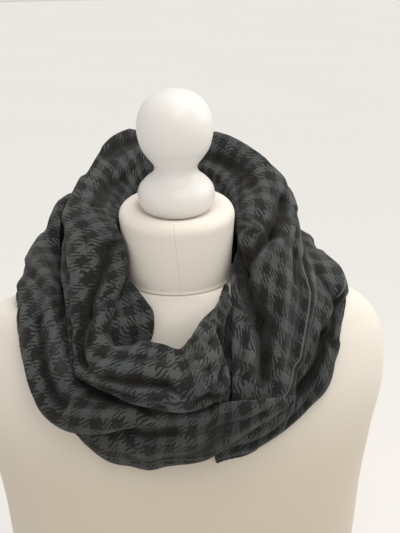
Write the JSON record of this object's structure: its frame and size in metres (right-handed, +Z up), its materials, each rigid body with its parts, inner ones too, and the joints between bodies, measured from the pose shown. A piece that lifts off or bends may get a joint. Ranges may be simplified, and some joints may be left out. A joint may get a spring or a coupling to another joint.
{
  "type": "infinity scarf on dress form",
  "caption": "Loop scarf of soft checked cloth wound round the neck of a limbless dress form that has a turned knob on its neck and a flat base.",
  "frame": {"origin": "middle of the dress form's flat base, below the axis of its neck", "axes": "+Z up, -Y towards the chest, +X towards the right of the front view"},
  "size_m": [0.4426, 0.2906, 0.6926],
  "materials": {
    "form_cover": "stretched off-white jersey",
    "form_knob": "turned wood painted satin white",
    "scarf_cloth": "soft woven cloth, charcoal and grey-green houndstooth"
  },
  "bodies": {
    "root": {"form_body": "form_cover", "form_neck": "form_cover", "form_knob": "form_knob", "scarf_outer_right": "scarf_cloth", "scarf_back_top_right": "scarf_cloth", "scarf_back_top_left": "scarf_cloth", "scarf_inner_left": "scarf_cloth", "scarf_inner_front": "scarf_cloth", "scarf_inner_right": "scarf_cloth", "scarf_under_right": "scarf_cloth", "scarf_back_low": "scarf_cloth", "scarf_outer_left": "scarf_cloth", "scarf_front_hem": "scarf_cloth", "scarf_neck_fold": "scarf_cloth"}
  },
  "joints": []
}
